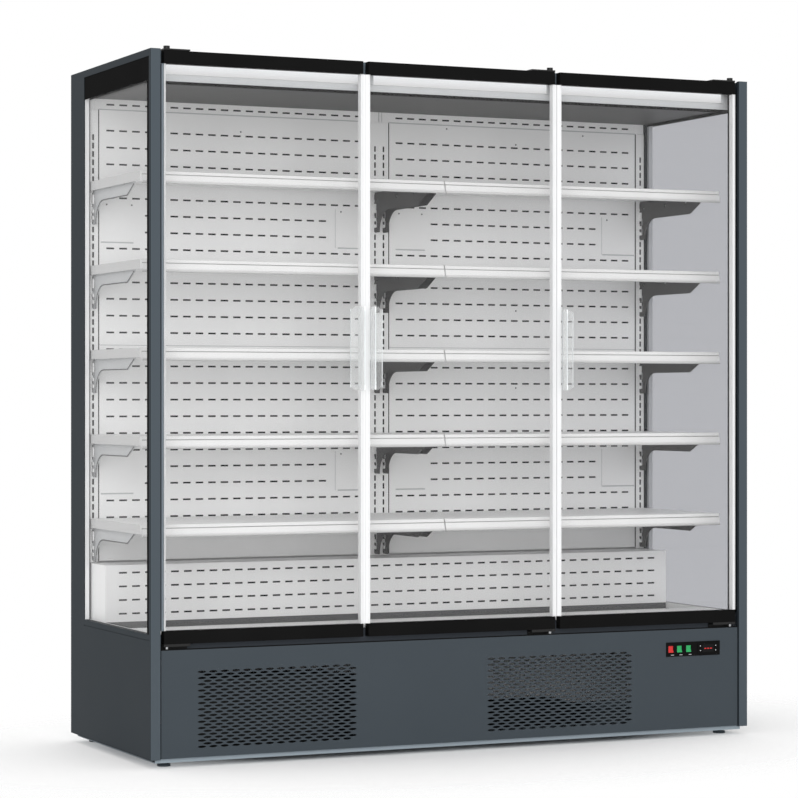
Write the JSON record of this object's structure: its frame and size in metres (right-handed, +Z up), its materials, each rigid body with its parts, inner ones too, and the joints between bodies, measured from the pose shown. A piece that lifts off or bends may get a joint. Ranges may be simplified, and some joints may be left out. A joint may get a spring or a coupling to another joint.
{
  "type": "open multideck display fridge",
  "caption": "Upright plug-in multideck display cabinet with hinged glass doors, hooked shelves, perforated air duct back, glazed ends and a vented base.",
  "frame": {"origin": "on the floor under the middle of the overall box, handles included", "axes": "+X to the right as seen from in front of the doors, +Y to the rear wall, +Z up"},
  "size_m": [1.935, 0.735, 2.01],
  "materials": {
    "graphite_paint": "satin powder coat",
    "white_paint": "smooth powder coat",
    "grey_paint": "satin powder coat",
    "fascia_paint": "satin powder coat",
    "zinc_steel": "matt galvanised",
    "clear_glass": "clear",
    "black_profile": "matt",
    "white_profile": "matt",
    "clear_acrylic": "polished",
    "lamp_diffuser": "opal",
    "black_plastic": "matt",
    "coil_fins": "bare",
    "insulation_grey": "matt",
    "red_key": "gloss",
    "green_key": "gloss",
    "compressor_paint": "gloss",
    "hinge_steel": "satin powder coat"
  },
  "bodies": {
    "cabinet": {"air_honeycomb": "black_plastic", "back_header": "white_paint", "back_panel_left": "white_paint", "back_panel_right": "white_paint", "back_wall": "white_paint", "brackets_left_hand": "grey_paint", "brackets_right_hand": "grey_paint", "canopy_fascia": "fascia_paint", "canopy_lamps": "lamp_diffuser", "canopy_lip": "white_paint", "ceiling_panel": "grey_paint", "compressor": "compressor_paint", "condensate_tray": "black_plastic", "condenser_coil": "coil_fins", "condenser_shroud": "zinc_steel", "control_panel": "black_plastic", "controller": "black_plastic", "deck_plates": "grey_paint", "door_frame": "fascia_paint", "evaporator_coil": "coil_fins", "evaporator_cover": "white_paint", "evaporator_fan_plate": "zinc_steel", "floor_pan": "fascia_paint", "front_panel": "graphite_paint", "hinge_brackets": "hinge_steel", "levelling_feet": "black_plastic", "price_rails": "white_profile", "return_air_grille": "white_profile", "roof_panel": "graphite_paint", "shelf_level_1": "white_paint", "shelf_level_2": "white_paint", "shelf_level_3": "white_paint", "shelf_level_4": "white_paint", "shelf_level_5": "white_paint", "side_glass_left": "clear_glass", "side_glass_right": "clear_glass", "side_panel_left": "graphite_paint", "side_panel_right": "graphite_paint", "tank": "insulation_grey", "uprights": "white_paint"},
    "door_1": {"door_1_glass": "clear_glass", "door_1_edges": "white_profile", "door_1_rails": "black_profile", "door_1_handle": "clear_acrylic"},
    "door_2": {"door_2_glass": "clear_glass", "door_2_edges": "white_profile", "door_2_rails": "black_profile", "door_2_handle": "clear_acrylic"},
    "door_3": {"door_3_glass": "clear_glass", "door_3_edges": "white_profile", "door_3_rails": "black_profile", "door_3_handle": "clear_acrylic"},
    "evaporator_fan_left": {"evaporator_fan_1": "black_plastic"},
    "evaporator_fan_right": {"evaporator_fan_2": "black_plastic"},
    "condenser_fan": {"condenser_fan": "black_plastic"},
    "red_rocker": {"rocker_red": "red_key"},
    "left_green_rocker": {"rocker_green_left": "green_key"},
    "right_green_rocker": {"rocker_green_right": "green_key"},
    "left_key": {"controller_key_left": "black_plastic"},
    "right_key": {"controller_key_right": "black_plastic"}
  },
  "joints": [
    {"name": "door_1_hinge", "type": "hinge", "parent": "cabinet", "child": "door_1", "pos_m": [-0.9145, -0.3255, 1.171], "axis": [0, 0, -1], "range_deg": [0, 90], "stiffness_Nm_per_rad": 2, "springref_deg": -28.65},
    {"name": "door_2_hinge", "type": "hinge", "parent": "cabinet", "child": "door_2", "pos_m": [0.2915, -0.3255, 1.171], "axis": [0, 0, 1], "range_deg": [0, 90], "stiffness_Nm_per_rad": 2, "springref_deg": -28.65},
    {"name": "door_3_hinge", "type": "hinge", "parent": "cabinet", "child": "door_3", "pos_m": [0.9145, -0.3255, 1.171], "axis": [0, 0, 1], "range_deg": [0, 90], "stiffness_Nm_per_rad": 2, "springref_deg": -28.65},
    {"name": "left_evaporator_fan_spin", "type": "hinge", "parent": "cabinet", "child": "evaporator_fan_left", "pos_m": [-0.48375, 0.1475, 0.4565], "axis": [0, 1, 0], "continuous": true},
    {"name": "right_evaporator_fan_spin", "type": "hinge", "parent": "cabinet", "child": "evaporator_fan_right", "pos_m": [0.48375, 0.1475, 0.4565], "axis": [0, 1, 0], "continuous": true},
    {"name": "condenser_fan_spin", "type": "hinge", "parent": "cabinet", "child": "condenser_fan", "pos_m": [-0.5925, -0.2025, 0.129], "axis": [0, 1, 0], "continuous": true},
    {"name": "red_rocker_tilt", "type": "hinge", "parent": "cabinet", "child": "red_rocker", "pos_m": [0.6985, -0.334, 0.2685], "axis": [1, 0, 0], "range_deg": [0, 16]},
    {"name": "left_green_rocker_tilt", "type": "hinge", "parent": "cabinet", "child": "left_green_rocker", "pos_m": [0.7285, -0.334, 0.2685], "axis": [1, 0, 0], "range_deg": [0, 16]},
    {"name": "right_green_rocker_tilt", "type": "hinge", "parent": "cabinet", "child": "right_green_rocker", "pos_m": [0.7605, -0.334, 0.2685], "axis": [1, 0, 0], "range_deg": [0, 16]},
    {"name": "left_key_press", "type": "slide", "parent": "cabinet", "child": "left_key", "axis": [0, 1, 0], "range_m": [0, 0.0008], "stiffness_N_per_m": 500},
    {"name": "right_key_press", "type": "slide", "parent": "cabinet", "child": "right_key", "axis": [0, 1, 0], "range_m": [0, 0.0008], "stiffness_N_per_m": 500}
  ]
}
